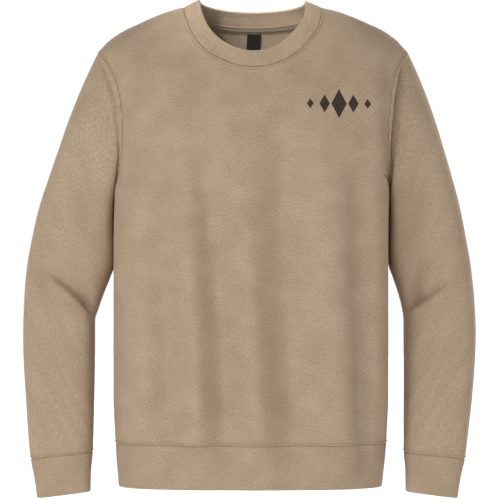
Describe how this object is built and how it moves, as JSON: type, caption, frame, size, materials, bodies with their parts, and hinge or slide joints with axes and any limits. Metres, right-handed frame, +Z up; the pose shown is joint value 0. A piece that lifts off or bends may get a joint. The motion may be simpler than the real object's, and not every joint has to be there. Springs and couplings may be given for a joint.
{
  "type": "crewneck sweatshirt",
  "caption": "Hollow crewneck sweatshirt, filled out as if worn, with set-in long sleeves and ribbed neckband, cuffs and waistband.",
  "frame": {"origin": "midway between the neck ends of the two shoulder seams, where the wearer's shoulders and neck carry the garment", "axes": "+Z up along the body towards the neck, +X across the garment to the viewer's right (the wearer's left), and the front faces -Y"},
  "size_m": [0.6574, 0.2318, 0.7204],
  "materials": {
    "fleece": "sand melange cotton fleece jersey with a short soft nap",
    "rib": "sand melange rib knit, a little smoother than the body",
    "neck_tape": "folded self-colour jersey tape",
    "neck_label": "blank dark brown woven label"
  },
  "bodies": {
    "root": {"front_panel": "fleece", "back_panel": "fleece", "sleeve_left": "fleece", "sleeve_right": "fleece", "cuff_left": "rib", "cuff_right": "rib", "waistband": "rib", "neckband": "rib", "neck_tape": "neck_tape", "neck_label": "neck_label"}
  },
  "joints": []
}
